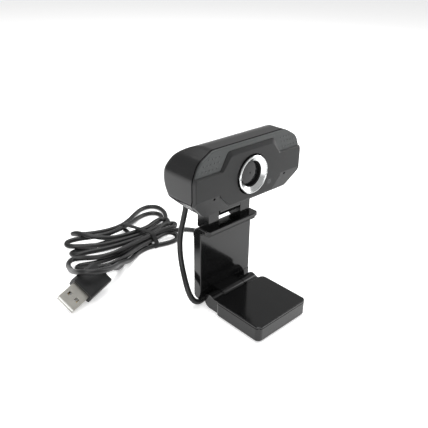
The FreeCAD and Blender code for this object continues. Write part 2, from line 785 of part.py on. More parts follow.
def make_face_panel():
    front, back, wall = D["face_y"], D["face_back_y"], D["head_wall"]
    panel = head_slab(0, front, back)
    rim = edges_where(panel, lambda m, box: box.YMax < front + 0.01)
    panel = panel.makeFillet(0.5, rim)
    panel = panel.cut(solid_between(upper_outline(*TRIM_EDGE), front - 1, D["trim_back_y"]))
    near, far = upper_outline(*BEVEL_EDGE), upper_outline(*TRIM_EDGE)
    near.translate(Vector(0, front, 0))
    far.translate(Vector(0, front + BEVEL_DEPTH, 0))
    panel = panel.cut(Part.makeLoft([near, far], True, True))
    rear = D["shell_front_y"]
    panel = panel.fuse(head_slab(0, back, back + 5).common(chin_wedge(back)))
    panel = panel.fuse(head_slab(0.8, back, rear))
    panel = panel.fuse(head_slab(0.8, rear, rear + 5).common(chin_wedge(rear)))
    spigot = head_slab(wall + 0.1, back, 19.0).cut(head_slab(wall + 1.3, back - 1, 20.0))
    panel = panel.fuse(spigot)
    middle = [Vector(x, 0, z) for x, z in MIDDLE_EDGE + [(-x, z) for x, z in reversed(MIDDLE_EDGE)]]
    raised = solid_between(Part.makePolygon(middle + middle[:1]), front - 1, front + 6)
    panel = panel.cut(chin_wedge(front).cut(raised))
    for x, z in BOARD_SCREWS:
        length = D["board_y"] - back
        panel = panel.fuse(Part.makeCylinder(2.2, length, Vector(x, back, z), Vector(0, 1, 0)))
    panel = drilled(panel, BOARD_SCREWS, 0.8, D["board_y"] - 6.0, D["board_y"] + 1)
    lens = [(0.0, D["lens_z"])]
    collar = Part.makeCylinder(D["ring_hole"] + 1.2, 2.4, Vector(0, back, D["lens_z"]), Vector(0, 1, 0))
    panel = drilled(panel.fuse(collar), lens, D["ring_hole"], front - 1, back + 4)
    mics = [(-D["mic_x"], D["mic_z"]), (D["mic_x"], D["mic_z"])]
    panel = drilled(panel, mics, D["mic_hole"], front - 1, back + 2)
    panel = drilled(panel, mics, 2.1, back - 0.6, back + 2)
    panel = drilled(panel, [(D["light_x"], D["light_z"])], D["light_radius"] + 0.05, front - 1, back + 2)
    return coded("face_panel", panel.removeSplitter())


def make_upper_trim():
    front, back = D["trim_y"], D["trim_back_y"]
    trim = head_slab(0, front, back)
    rim = edges_where(trim, lambda m, box: box.YMax < front + 0.01)
    trim = trim.makeFillet(0.4, rim)
    gap = 0.08
    step_x, step_z, crest_x, crest_z = TRIM_EDGE
    above = upper_outline(step_x + gap, step_z + gap, crest_x + gap, crest_z + gap)
    return coded("upper_trim", trim.common(solid_between(above, front - 1, back + 1)))


def make_focus_ring():
    chamfer = 0.35
    points = [
        ("ring_front_y", "ring_mouth"), (size("ring_front_y") + 0.35, "ring_mouth"),
        (size("ring_front_y") + 0.35, size("ring_mouth") - 0.3),
        ("throat_y", "ring_throat"), ("ring_back_y", "ring_throat"),
        ("ring_back_y", "ring_radius"), (size("ring_front_y") + chamfer, "ring_radius"),
        ("ring_front_y", size("ring_radius") - chamfer),
    ]
    body = turned("focus_ring", points)
    front = size("ring_front_y")
    for side in (-1, 1):
        low, high = sorted((9.7 * side, 11.0 * side))
        notch = box_outline(low, high, size("lens_z") - 0.8, size("lens_z") + 0.8)
        carve(body, "XZ", notch, front - 1, front + 0.7)
    return body


def make_optics():
    throat, thread = size("ring_throat") - 0.02, size("barrel_radius")
    front = size("throat_y") + 0.4
    turned("lens_barrel", [
        (front, throat), (front + 3.2, throat), (front + 3.2, thread), (front + 9.2, thread),
        (front + 9.2, 3.4), (front + 6.2, 3.4), (front + 6.2, 2.6), (front + 4.3, 2.6),
        (front + 4.3, 4.5), (front + 2.4, 4.5), (front + 2.4, 6.5), (front, 6.5),
    ])
    vertex = D["throat_y"] + 1.5
    dome_radius, lens_radius, lens_thick = 60.0, 6.45, 1.3

    def on_dome(radius):
        sag = dome_radius - math.sqrt(dome_radius ** 2 - radius ** 2)
        return Vector(0, vertex + sag, D["lens_z"] + radius)

    top, middle, edge = on_dome(0), on_dome(lens_radius / 2.0), on_dome(lens_radius)
    back_edge = Vector(0, vertex + lens_thick, D["lens_z"] + lens_radius)
    back_middle = Vector(0, vertex + lens_thick, D["lens_z"])
    section = Part.Wire([
        Part.Arc(top, middle, edge).toShape(), Part.LineSegment(edge, back_edge).toShape(),
        Part.LineSegment(back_edge, back_middle).toShape(), Part.LineSegment(back_middle, top).toShape(),
    ])
    coded("front_lens", Part.Face(section).revolve(back_middle, Vector(0, 1, 0), 360))
    named(cylinder("rear_lens", "y", (0, front + 6.4, "lens_z"), 2.0, 3.35), "rear_lens")


def make_lens_holder():
    body = new_body("lens_holder")
    axis = (0, "lens_z")
    board = size("board_y")
    add_round(body, "XZ", axis, 8.2, board - 7.6, board)
    foot = box_outline(-9.5, 9.5, size("lens_z") - 9.5, size("lens_z") + 9.5)
    add(body, "XZ", foot, board - 2.0, board)
    carve_round(body, "XZ", axis, size("barrel_radius") + "running_gap", board - 7.6, board - 2.0)
    window = box_outline(-5, 5, size("lens_z") - 5, size("lens_z") + 5)
    carve(body, "XZ", window, board - 2.0, board)
    return body


def make_electronics():
    board, thick = size("board_y"), size("board_thick")
    back = board + thick
    body = new_body("main_board")
    add(body, "XZ", [(-30, 74.5), (30, 74.5), (30, 94), (27, 97), (-27, 97), (-30, 94)], board, back)
    for x, z in BOARD_SCREWS:
        carve_round(body, "XZ", (x, z), 1.1, board, back)
    screws = []
    for x, z in BOARD_SCREWS:
        screws.append(screw("board", "y", -1, (x, back, z), 1.7, 0.9, 0.78, 5.5))
    grouped("board_screws", screws)
    lens = size("lens_z")
    chip = ((-4.2, 4.2), (board - 1.2, board), (lens - 4.2, lens + 4.2))
    named(block("image_sensor", *chip), "image_sensor")
    glass = ((-3.8, 3.8), (board - 1.6, board - 1.2), (lens - 3.8, lens + 3.8))
    named(block("infrared_filter", *glass), "infrared_filter")
    named(block("video_chip", (2, 12), (back, back + 1.2), (82, 92)), "video_chip")
    named(block("cable_socket", (-27, -17), (back, back + 5.0), (82, 86.5)), "cable_socket")
    led = ((size("light_x") - 0.8, size("light_x") + 0.8), (board - 0.8, board),
           (size("light_z") - 0.6, size("light_z") + 0.6))
    named(block("status_led", *led), "status_led")
    pipe_length = board - 1.0 - "face_y"
    named(cylinder("light_pipe", "y", ("light_x", "face_y", "light_z"), pipe_length, "light_radius"),
          "light_pipe")
    capsules = []
    for side in (-1, 1):
        start = (size("mic_x") * side, size("face_back_y") - 0.6, "mic_z")
        capsules.append(cylinder("capsule", "y", start, 2.0, 2.05))
    grouped("microphones", capsules)


def make_tilt_arm():
    body = new_body("tilt_arm")
    axis = ("tilt_axis_y", "tilt_axis_z")
    half = size("arm_half")
    plate = size("arm_plate_z")
    add_round(body, "YZ", axis, "arm_radius", -half, half)
    add(body, "YZ", box_outline("arm_front_y", "arm_back_y", axis[1], plate), -half, half)
    tab = size(ARM_SCREWS_X[1]) + 2.2
    add(body, "XY", box_outline(-tab, tab, ARM_SCREW_Y - 3.5, ARM_SCREW_Y + 3.0), plate, plate + 1.6)
    carve_round(body, "YZ", axis, size("tilt_radius") + "running_gap", -half, half)
    for x in ARM_SCREWS_X:
        carve_round(body, "XY", (x, ARM_SCREW_Y), 0.95, plate, plate + 1.6)
    screws = []
    for x in ARM_SCREWS_X:
        screws.append(screw("arm", "z", -1, (x, ARM_SCREW_Y, plate + 1.6), 1.7, 0.9, 0.78, 5.5))
    grouped("arm_screws", screws)


def make_cable_grommet():
    outlet, outward = cable_outlet()
    base, tip, reach = 2.9, 2.2, GROMMET_REACH
    flange = Part.makeCylinder(3.7, 1.2, outlet - outward * 3.4, outward)
    neck = Part.makeCylinder(2.55, 2.6, outlet - outward * 2.4, outward)
    cone = Part.makeCone(base, tip, reach, outlet, outward)
    relief = flange.fuse(neck).fuse(cone)
    rings, ring_gap = 4, 1.5
    for i in range(rings):
        start = outlet + outward * (1.8 + i * ring_gap)
        slit = Part.makeCylinder(5.0, 0.5, start, outward).cut(Part.makeCylinder(1.9, 0.5, start, outward))
        relief = relief.cut(slit)
    return coded("cable_grommet", relief.removeSplitter())


# ---------------------------------------------------------------- lead, hank, tie and plug
# The lead leaves the grommet behind the head, drops behind the upright, passes under its right
# half and crosses the table to a hank, whose other end comes out at the plug.

DROP_ROUTE = [(-14.5, 46.8, 55.5), (-15.5, 48.5, 46.5), (-18.0, 48.5, 37.5),
              (-19.5, 47.0, 28.0), (-21.0, 43.4, 20.5), (-23.6, 37.8, 15.5), (-25.4, 33.0, 10.6),
              (-24.0, 30.8, 5.0), (-20.0, 30.5, 1.65), (-14.0, 31.6, 1.65)]
RUN_ROUTE = [(-14.0, 31.6, 1.65), (-4.0, 31.2, 1.65), (7.5, 32.8, 1.65), (17.5, 38.4, 1.65),
             (27.0, 48.2, 1.65), (33.8, 61.0, 1.65), (38.2, 75.5, 1.65), (38.8, 90.0, 1.65),
             (36.4, 99.8, 1.65), (31.2, 106.0, 1.65), (24.5, 109.0, 1.65)]
LEAD_ROUTE = [(-41.2, 86.6, 8.2), (-36.4, 90.0, 4.6), (-32.5, 94.5, 3.0)]
HANK_OUTLINE = [(-38, 152), (-48, 138), (-54, 118), (-62, 112), (-63.5, 100), (-55, 93), (-36, 91),
                (-18, 95), (-2, 97.5), (6, 94.5), (17, 94.5), (23, 101), (30, 118), (38, 130),
                (42, 142), (41.5, 152), (34, 156), (22, 153.5), (4, 142.5), (-14, 143.5)]
PLUG_FRONT = Vector(-69.0, 77.95, 8.1)
PLUG_FORWARD = Vector(-0.95, -0.26, -0.17)
PLUG_ACROSS = Vector(0.309, -0.725, -0.618)
CONTACTS_Y = (-3.5, -1.0, 1.0, 3.5)


def plug_placement():
    """The plug's own frame: +X out of the shell's mouth, +Y across it, origin on the grip's front."""
    normal = PLUG_FORWARD.cross(PLUG_ACROSS)
    return Placement(PLUG_FRONT, Rotation(PLUG_FORWARD, PLUG_ACROSS, normal, "XYZ"))


def cord_tube(label, route):
    """A round tube along straight runs joined by the largest tangent arcs that the runs allow."""
    points = [Vector(*place) for place in route]
    radii = [0.0] * len(points)
    for i in range(1, len(points) - 1):
        back, ahead = points[i] - points[i - 1], points[i + 1] - points[i]
        half_turn = back.getAngle(ahead) / 2.0
        radii[i] = 0.45 * min(back.Length, ahead.Length) / math.tan(half_turn)
    path = rounded_path(points, radii, False)
    start = points[0]
    ring = Part.Wire([Part.makeCircle(D["cable_dia"] / 2.0, start, points[1] - start)])
    tube = path.makePipeShell([ring], True, True)
    section = math.pi * D["cable_dia"] ** 2 / 4.0
    print("%s: length %.1f mm, volume %.4f of section x length, radii %s" % (
        label, path.Length, tube.Volume / (section * path.Length),
        " ".join("%.1f" % radius for radius in radii[1:-1])))
    return tube


def hank_solid(grown):
    """The outer shape of the folded lead, a low pillow on the table."""
    corners = [Vector(x, y, 0) for x, y in HANK_OUTLINE]
    outline = rounded_path(corners, [3.4] * len(corners), True)
    if grown:
        outline = outline.makeOffset2D(grown)
    pillow = Part.Face(outline).extrude(Vector(0, 0, D["hank_height"] + grown))
    top = [edge for edge in pillow.Edges if edge.BoundBox.ZMin > D["hank_height"] - 0.1]
    return pillow.makeFillet(2.6, top)


def make_lead():
    outlet, outward = cable_outlet()
    start = outlet + outward * (GROMMET_REACH + 0.02)
    ahead = start + outward * 5.6
    hank = hank_solid(0)
    coded("cable_drop", cord_tube("cable_drop", [tuple(start), tuple(ahead)] + DROP_ROUTE))
    coded("cable_run", cord_tube("cable_run", RUN_ROUTE).cut(hank))
    coded("cable_hank", hank)
    behind = D["grip_length"] + D["collar_length"]
    straight = [tuple(plug_placement().multVec(Vector(-behind - reach, 0, 0))) for reach in (0, 4)]
    coded("cable_lead", cord_tube("cable_lead", straight + LEAD_ROUTE).cut(hank))
    half = D["tie_width"] / 2.0
    low, high = Vector(D["tie_x"] - half, 0, 0), D["hank_height"] * 2
    slab = Part.makeBox(D["tie_width"], 200, high, low)
    coded("cable_tie", hank_solid(D["tie_thick"]).common(slab).cut(hank))


def make_plug():
    placement = plug_placement()
    long, wide, high = size("grip_length"), size("grip_width") * 0.5, size("grip_height") * 0.5
    grip = new_body("plug_grip")
    add(grip, "YZ", box_outline(-wide, wide, -high, high), -long, 0)
    round_edges(grip, 1.6, lambda middle, along: abs(along.x) > 0.9, "Fillet")
    add_round(grip, "YZ", (0, 0), "collar_radius", -long - "collar_length", -long)
    shell = new_body("plug_shell")
    across, tall, wall = size("shell_width") * 0.5, size("shell_height") * 0.5, size("plug_wall")
    add(shell, "YZ", box_outline(-across, across, -tall, tall), 0, "shell_length")
    carve(shell, "YZ", box_outline(-across + wall, across - wall, -tall + wall, tall - wall),
          0, "shell_length")
    for side in (-1, 1):
        middle = size("latch_y") * side
        carve(shell, "XY", box_outline(size("latch_x") - 1.1, size("latch_x") + 1.1, middle - 1.1, middle + 1.1),
              -tall - 1, tall + 1)
    tongue = new_body("plug_tongue")
    add(tongue, "YZ", box_outline(-across + wall, across - wall, -tall + wall, "tongue_top"),
        0, size("shell_length") - 0.4)
    strips = []
    for y in CONTACTS_Y:
        strips.append(block("contact", (2.0, size("shell_length") - 1.4), (y - 0.5, y + 0.5),
                            ("tongue_top", size("tongue_top") + 0.15)))
    contacts = grouped("plug_contacts", strips)
    for piece in (grip, shell, tongue, contacts):
        piece.Placement = placement


# ---------------------------------------------------------------- the document

for make in (make_foot_base, make_foot_cover, make_foot_pad, make_foot_screws, make_fold_pin,
             make_fold_washers, make_upright_shell, make_front_panel, make_panel_screws,
             make_neck_bracket, make_lip_pad, make_tilt_hardware, make_rear_housing, make_face_panel,
             make_upper_trim, make_focus_ring, make_optics, make_lens_holder, make_electronics,
             make_tilt_arm, make_cable_grommet, make_lead, make_plug):
    make()
doc.recompute()

for thing in doc.Objects:
    if "Invalid" in thing.State or "Error" in thing.State:
        raise RuntimeError("%s did not recompute: %s" % (thing.Label, thing.State))

os.makedirs("parts", exist_ok=True)
for piece in pieces:
    if piece.Shape.isNull() or not piece.Shape.isValid() or not piece.Shape.Solids:
        raise RuntimeError("%s has no valid solid" % piece.Label)
    piece.Shape.exportStep("parts/%s.step" % piece.Label)
    print("%-16s %2d solid(s) %9.1f mm3" % (piece.Label, len(piece.Shape.Solids), piece.Shape.Volume))
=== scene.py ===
import json
import math

import bmesh
import bpy
from mathutils import Euler, Matrix, Vector


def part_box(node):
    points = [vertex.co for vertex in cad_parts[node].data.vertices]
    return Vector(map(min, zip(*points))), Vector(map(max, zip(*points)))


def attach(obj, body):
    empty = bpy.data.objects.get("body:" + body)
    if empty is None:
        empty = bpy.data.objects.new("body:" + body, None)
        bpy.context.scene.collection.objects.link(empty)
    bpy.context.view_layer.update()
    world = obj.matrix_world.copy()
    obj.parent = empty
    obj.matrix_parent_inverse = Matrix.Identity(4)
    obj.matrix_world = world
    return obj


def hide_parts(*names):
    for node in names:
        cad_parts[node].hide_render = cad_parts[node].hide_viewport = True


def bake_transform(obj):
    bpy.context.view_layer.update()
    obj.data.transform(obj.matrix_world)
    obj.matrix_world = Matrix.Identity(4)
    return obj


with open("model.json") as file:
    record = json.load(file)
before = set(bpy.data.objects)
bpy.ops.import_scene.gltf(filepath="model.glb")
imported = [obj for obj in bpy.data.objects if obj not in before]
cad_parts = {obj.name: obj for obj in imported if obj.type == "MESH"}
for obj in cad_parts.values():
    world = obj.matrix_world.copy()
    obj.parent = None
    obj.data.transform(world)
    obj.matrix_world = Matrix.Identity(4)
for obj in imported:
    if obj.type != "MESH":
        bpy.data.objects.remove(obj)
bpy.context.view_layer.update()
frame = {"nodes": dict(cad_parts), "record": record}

nodes = frame["nodes"]
MM = 0.001


def millimetres(points):
    return [Vector(p) * MM for p in points]


# ---------------------------------------------------------------- camera

camera = bpy.data.objects.new("camera", bpy.data.cameras.new("camera"))
bpy.context.collection.objects.link(camera)
bpy.context.scene.camera = camera
CAMERA_PLACE = Vector((-183.1, -156.25, 183.2)) * MM
CAMERA_AZIMUTH, CAMERA_DOWN, CAMERA_ROLL = -43.09, 26.75, 0.6  # degrees
CAMERA_LENS = 43.73
CAMERA_SHIFT = (0.0009, 0.0042)
camera.location = CAMERA_PLACE
turn = Euler((math.radians(90 - CAMERA_DOWN), 0, math.radians(CAMERA_AZIMUTH))).to_matrix()
camera.rotation_euler = (turn @ Matrix.Rotation(math.radians(CAMERA_ROLL), 3, "Z")).to_euler()
camera.data.lens = CAMERA_LENS
camera.data.shift_x, camera.data.shift_y = CAMERA_SHIFT
camera.data.clip_start = 0.01

# ---------------------------------------------------------------- the lead
# One cord from the strain relief behind the head to the plug: down behind the upright, under its
# right half, across the table, and through ten tight folds of the tied hank.  Millimetres.

LEAD_OUT = [
    (-17.0, 39.4, 68.1), (-17.0, 43.6, 64.35), (-14.5, 46.8, 55.5), (-15.5, 48.5, 46.5),
    (-18.0, 48.5, 37.5), (-19.5, 47.0, 28.0), (-21.0, 43.4, 20.5), (-23.6, 37.8, 15.5),
    (-25.4, 33.0, 10.6), (-24.0, 30.8, 5.0), (-20.0, 30.5, 1.65), (-14.0, 31.6, 1.65),
    (-4.0, 31.2, 1.65), (7.5, 32.8, 1.65), (17.5, 38.4, 1.65), (27.0, 48.2, 1.65),
    (33.8, 61.0, 1.65), (38.2, 75.5, 1.65), (38.8, 90.0, 1.65), (36.4, 99.8, 1.65),
    (31.2, 106.0, 1.65), (24.5, 109.0, 1.65),
]

HANK = [
    # first strand in, right to left
    (15.0, 110.0, 1.65), (6.0, 108.2, 2.6), (-3.0, 105.8, 5.0), (-13.0, 104.3, 5.0),
    (-23.0, 101.8, 5.0), (-33.0, 101.8, 4.6), (-41.5, 106.0, 2.8),
    # left fold, near side
    (-46.6, 109.8, 1.9), (-52.0, 111.4, 2.3), (-55.6, 107.4, 3.3), (-53.4, 101.8, 4.4),
    (-46.4, 97.6, 5.0),
    (-38.0, 95.2, 5.0), (-27.0, 96.0, 5.0), (-16.0, 99.8, 5.2), (-5.0, 102.2, 5.0),
    (6.0, 103.6, 5.0),
    # small right loop
    (13.5, 105.6, 4.9), (19.2, 105.6, 3.9), (21.4, 101.4, 2.6), (19.0, 97.2, 1.65),
    (13.6, 96.4, 1.65), (7.0, 98.0, 1.65),
    (-2.0, 101.4, 1.65), (-11.0, 101.0, 1.65), (-18.6, 97.4, 1.65), (-25.2, 92.8, 3.6),
    (-31.0, 89.4, 6.8), (-38.0, 85.6, 9.8), (-45.0, 79.2, 13.4), (-52.5, 75.0, 16.8),
    (-60.0, 74.2, 19.0), (-66.0, 78.0, 19.4), (-66.6, 86.0, 16.2), (-64.2, 96.0, 11.0),
    (-61.0, 105.6, 7.2), (-58.6, 112.4, 5.6), (-53.6, 117.2, 5.0), (-48.0, 114.6, 5.2),
    (-43.4, 108.8, 6.0), (-38.0, 103.8, 7.0),
    (-30.0, 101.0, 8.0), (-20.0, 102.0, 8.3), (-9.0, 103.4, 8.3), (1.0, 104.4, 8.3),
    (11.0, 105.4, 8.0),
    # right fold to the next
    (16.8, 104.4, 8.0), (21.8, 103.4, 8.0), (26.0, 107.8, 7.7), (22.2, 112.8, 6.8),
    (16.4, 112.2, 5.9), (10.0, 111.0, 5.2),
    (2.0, 110.7, 5.0), (-9.0, 111.4, 5.0), (-21.0, 112.5, 5.0), (-32.0, 115.0, 5.0),
    (-39.0, 117.6, 5.0),
    # left fold down to the hidden strand
    (-44.8, 119.6, 4.8), (-48.8, 122.6, 4.0), (-48.4, 127.6, 2.9), (-43.6, 129.6, 2.0),
    (-38.0, 128.4, 1.65),
    (-28.0, 127.0, 1.65), (-14.0, 126.4, 1.65), (-2.0, 126.0, 1.65), (10.0, 125.6, 1.65),
    (20.0, 126.4, 1.65),
    # inner right loop
    (28.0, 128.6, 1.65), (33.0, 133.6, 1.65), (33.0, 140.0, 1.65), (27.8, 144.2, 1.65),
    (19.2, 143.6, 1.65), (10.3, 139.4, 2.4),
    (2.0, 134.4, 4.2), (-8.0, 131.2, 5.0), (-18.0, 130.8, 5.0), (-27.0, 134.0, 5.0),
    (-34.0, 137.6, 5.0),
    # left fold
    (-39.4, 139.8, 4.9), (-44.0, 140.4, 4.6), (-46.8, 136.4, 4.8), (-44.4, 131.2, 5.1),
    (-38.6, 126.6, 5.2),
    (-30.0, 121.0, 5.0), (-21.0, 117.9, 5.0), (-10.0, 116.0, 5.0), (2.0, 114.7, 5.0),
    (12.0, 115.4, 5.0),
    # right fold
    (18.6, 115.6, 5.2), (25.2, 115.4, 5.4), (28.4, 120.2, 5.3), (25.2, 124.6, 5.1),
    (19.6, 124.0, 5.0), (12.6, 121.2, 5.0),
    (4.0, 119.6, 5.0), (-8.0, 121.0, 5.0), (-19.0, 123.8, 5.2), (-27.5, 129.2, 7.0),
    (-32.6, 135.4, 8.3),
    # left fold to the far strand
    (-35.2, 141.4, 8.2), (-36.4, 147.0, 5.6), (-33.0, 150.4, 2.8), (-27.0, 147.6, 1.65),
    (-18.5, 143.2, 1.65), (-8.5, 140.4, 1.65), (1.2, 140.6, 1.65), (10.8, 144.6, 1.65),
    (19.5, 150.0, 1.65),
    # outer right loop
    (28.5, 154.0, 1.65), (36.0, 153.6, 1.65), (40.2, 148.2, 1.65), (39.6, 140.2, 1.65),
    (36.2, 132.6, 1.65), (31.0, 126.0, 1.65),
    # last strand, on the table, to the plug
    (25.0, 120.8, 1.65), (17.5, 117.2, 1.65), (8.5, 115.6, 1.65), (-1.0, 113.8, 1.65),
    (-9.5, 111.0, 1.65), (-17.0, 106.2, 1.65), (-23.5, 100.4, 1.65), (-30.0, 94.6, 1.65),
    (-36.0, 89.6, 4.2), (-41.0, 86.4, 8.0), (-46.2, 84.2, 12.2), (-50.0, 83.15, 11.5),
]

CABLE_DIAMETER = 3.3 * MM


def route_curve(name, points, radius):
    """A NURBS curve of order 3 through its control points' midpoints, as a round tube."""
    curve = bpy.data.curves.new(name, "CURVE")
    curve.dimensions = "3D"
    spline = curve.splines.new("NURBS")
    spline.points.add(len(points) - 1)
    for point, place in zip(spline.points, points):
        point.co = (*place, 1.0)
    spline.order_u = 3
    spline.use_endpoint_u = True
    spline.resolution_u = 8
    curve.bevel_depth = radius
    curve.bevel_resolution = 5
    curve.use_fill_caps = radius > 0
    return bpy.data.objects.new(name, curve)


def line_of(points):
    """The points along the route's own spline."""
    bare = route_curve("route", points, 0.0)
    mesh = bpy.data.meshes.new_from_object(bare)
    line = [v.co.copy() for v in mesh.vertices]
    bpy.data.objects.remove(bare)
    return line


def mesh_object(name, mesh):
    thing = bpy.data.objects.new(name, mesh)
    bpy.context.collection.objects.link(thing)
    return thing


def smooth(thing, angle=40):
    """Smooth shading with sharp edges kept above an angle."""
    thing.data.shade_smooth()
    thing.data.set_sharp_from_angle(angle=math.radians(angle))
    return thing


route = millimetres(LEAD_OUT + HANK)
lead_line = line_of(route)
tube = route_curve("tube", route, CABLE_DIAMETER / 2)
cable = smooth(mesh_object("cable", bpy.data.meshes.new_from_object(tube)), 80)
bpy.data.objects.remove(tube)

# ---------------------------------------------------------------- materials


def moulding(name, colour, roughness, spread=0.05, grain=0.0, grain_size=0.4, coat=0.0, metallic=0.0,
             wear=0.12, specular=0.5):
    """A procedural surface: uneven gloss, slightly uneven colour and a fine moulded grain.
    spread is how far the roughness varies, grain the bump height in mm, grain_size in mm."""
    made = bpy.data.materials.new(name)
    made.use_nodes = True
    tree = made.node_tree
    link = tree.links.new
    shader = tree.nodes["Principled BSDF"]
    shader.inputs["Metallic"].default_value = metallic
    shader.inputs["Coat Weight"].default_value = coat
    shader.inputs["Coat Roughness"].default_value = 0.06
    shader.inputs["Specular IOR Level"].default_value = specular
    place = tree.nodes.new("ShaderNodeTexCoord")
    cloud = tree.nodes.new("ShaderNodeTexNoise")
    cloud.inputs["Scale"].default_value = 120.0
    cloud.inputs["Detail"].default_value = 4.0
    link(place.outputs["Object"], cloud.inputs["Vector"])
    gloss = tree.nodes.new("ShaderNodeMapRange")
    gloss.inputs["To Min"].default_value = max(0.02, roughness - spread)
    gloss.inputs["To Max"].default_value = roughness + spread
    link(cloud.outputs["Fac"], gloss.inputs["Value"])
    link(gloss.outputs["Result"], shader.inputs["Roughness"])
    tone = tree.nodes.new("ShaderNodeValToRGB")
    tone.color_ramp.elements[0].position = 0.3
    tone.color_ramp.elements[1].position = 0.7
    tone.color_ramp.elements[0].color = (*[c * (1 - wear) for c in colour], 1)
    tone.color_ramp.elements[1].color = (*[min(1, c * (1 + wear)) for c in colour], 1)
    link(cloud.outputs["Fac"], tone.inputs["Fac"])
    link(tone.outputs["Color"], shader.inputs["Base Color"])
    if grain:
        speck = tree.nodes.new("ShaderNodeTexNoise")
        speck.inputs["Scale"].default_value = 1.0 / (grain_size * MM)
        speck.inputs["Detail"].default_value = 3.0
        link(place.outputs["Object"], speck.inputs["Vector"])
        bump = tree.nodes.new("ShaderNodeBump")
        bump.inputs["Distance"].default_value = grain * MM
        bump.inputs["Strength"].default_value = 0.6
        link(speck.outputs["Fac"], bump.inputs["Height"])
        link(bump.outputs["Normal"], shader.inputs["Normal"])
    return made


def brushed(name, colour, roughness, stretch, scale=500.0):
    """Metal with fine lines along one axis, which stretch makes long."""
    made = moulding(name, colour, roughness, metallic=1.0, wear=0.06)
    tree = made.node_tree
    link = tree.links.new
    shader = tree.nodes["Principled BSDF"]
    place = tree.nodes.new("ShaderNodeTexCoord")
    squeeze = tree.nodes.new("ShaderNodeMapping")
    squeeze.inputs["Scale"].default_value = stretch
    lines = tree.nodes.new("ShaderNodeTexNoise")
    lines.inputs["Scale"].default_value = scale
    lines.inputs["Detail"].default_value = 5.0
    link(place.outputs["Object"], squeeze.inputs["Vector"])
    link(squeeze.outputs["Vector"], lines.inputs["Vector"])
    bump = tree.nodes.new("ShaderNodeBump")
    bump.inputs["Distance"].default_value = 0.01 * MM
    bump.inputs["Strength"].default_value = 0.35
    link(lines.outputs["Fac"], bump.inputs["Height"])
    link(bump.outputs["Normal"], shader.inputs["Normal"])
    return made


BLACK = (0.0045, 0.0046, 0.0048)
looks = {
    "stand_plastic": moulding("polished_stand", BLACK, 0.12, 0.03, 0.003, 1.4, specular=0.42),
    "housing_plastic": moulding("polished_housing", BLACK, 0.2, 0.04, 0.004, 1.5, specular=0.42),
    "face_plastic": moulding("spark_face", (0.0075, 0.0078, 0.008), 0.46, 0.05, 0.02, 0.3, specular=0.3),
    "trim_plastic": moulding("satin_trim", (0.034, 0.037, 0.037), 0.42, 0.05, 0.01, 0.3, specular=0.35),
    "ring_chrome": brushed("plated_ring", (0.66, 0.67, 0.67), 0.2, (1, 8, 1)),
    "barrel_plastic": moulding("matt_barrel", (0.003, 0.003, 0.003), 0.6, 0.05, 0.02, 0.3, specular=0.15),
    "lens_glass": moulding("coated_glass", (0.010, 0.0105, 0.011), 0.16, 0.04, specular=0.35),
    "pad_rubber": moulding("rubber_pad", (0.018, 0.018, 0.018), 0.75, 0.08, 0.04, 0.5),
    "grommet_rubber": moulding("rubber_relief", (0.014, 0.014, 0.0145), 0.5, 0.07, 0.02, 0.4),
    "pin_steel": brushed("turned_steel", (0.05, 0.05, 0.052), 0.32, (1, 12, 12)),
    "screw_steel": brushed("black_steel", (0.02, 0.02, 0.021), 0.35, (6, 1, 1)),
    "washer_plastic": moulding("natural_acetal", (0.62, 0.6, 0.54), 0.4, 0.06, 0.01, 0.4),
    "board": moulding("solder_mask", (0.01, 0.09, 0.03), 0.3, 0.08, 0.01, 0.8, coat=0.3),
    "chip": moulding("chip_package", (0.02, 0.02, 0.022), 0.55, 0.06, 0.02, 0.2),
    "light_window": moulding("light_window", (0.02, 0.021, 0.022), 0.25, 0.04, specular=0.35),
    "microphone_can": brushed("microphone_can", (0.6, 0.6, 0.6), 0.3, (1, 6, 1)),
    "cable_jacket": moulding("vinyl_jacket", (0.0055, 0.0056, 0.0058), 0.4, 0.06, 0.02, 0.5, specular=0.36),
    "tie_plastic": moulding("tie_strap", (0.004, 0.004, 0.0042), 0.5, 0.08, 0.02, 0.4, specular=0.3),
    "grip_plastic": moulding("plug_grip", (0.0065, 0.0068, 0.007), 0.45, 0.06, 0.03, 0.3, specular=0.3),
    "plug_steel": brushed("nickel_shell", (0.36, 0.35, 0.32), 0.36, (14, 1, 1), 220.0),
    "tongue_plastic": moulding("white_tongue", (0.72, 0.72, 0.7), 0.45, 0.06, 0.01, 0.4),
    "contact_brass": brushed("gilt_contact", (0.85, 0.62, 0.28), 0.2, (1, 10, 10)),
}

slot_of = {part["node"]: part["material_slot"] for part in frame["record"]["subparts"]}
for node, thing in nodes.items():
    if thing.material_slots:
        for material_slot in thing.material_slots:
            material_slot.material = looks[slot_of[node]]
    else:
        thing.data.materials.append(looks[slot_of[node]])


def finish_piece(thing, body, slot):
    thing.data.materials.clear()
    thing.data.materials.append(looks[slot])
    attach(thing, body)
    return thing


# ---------------------------------------------------------------- tie round the hank

TIE_X, TIE_WIDTH, TIE_THICK = 0.5 * MM, 3.4 * MM, 0.5 * MM
TIE_LEAN = 4.0 * MM  # how far its far side stands to the left of its near side
TIE_NEAR, TIE_FAR = 90 * MM, 138 * MM  # it holds the strands between these two places along Y
TIE_GAP = 0.1 * MM
TIE_LOWEST = 0.05 * MM
TIE_PROFILE = ((-1, 0.05), (-1, 0.8), (0, 1.0), (1, 0.8), (1, 0.05))  # half widths, thicknesses
STRAND_SIDES = 16


def convex_loop(points):
    """The convex outline of (y, z) points, counter-clockwise."""
    points = sorted(set(points))

    def chain(ordered):
        kept = []
        for p in ordered:
            while len(kept) > 1:
                (ay, az), (by, bz) = kept[-2], kept[-1]
                if (by - ay) * (p[1] - az) - (bz - az) * (p[0] - ay) > 0:
                    break
                kept.pop()
            kept.append(p)
        return kept[:-1]

    return chain(points) + chain(points[::-1])


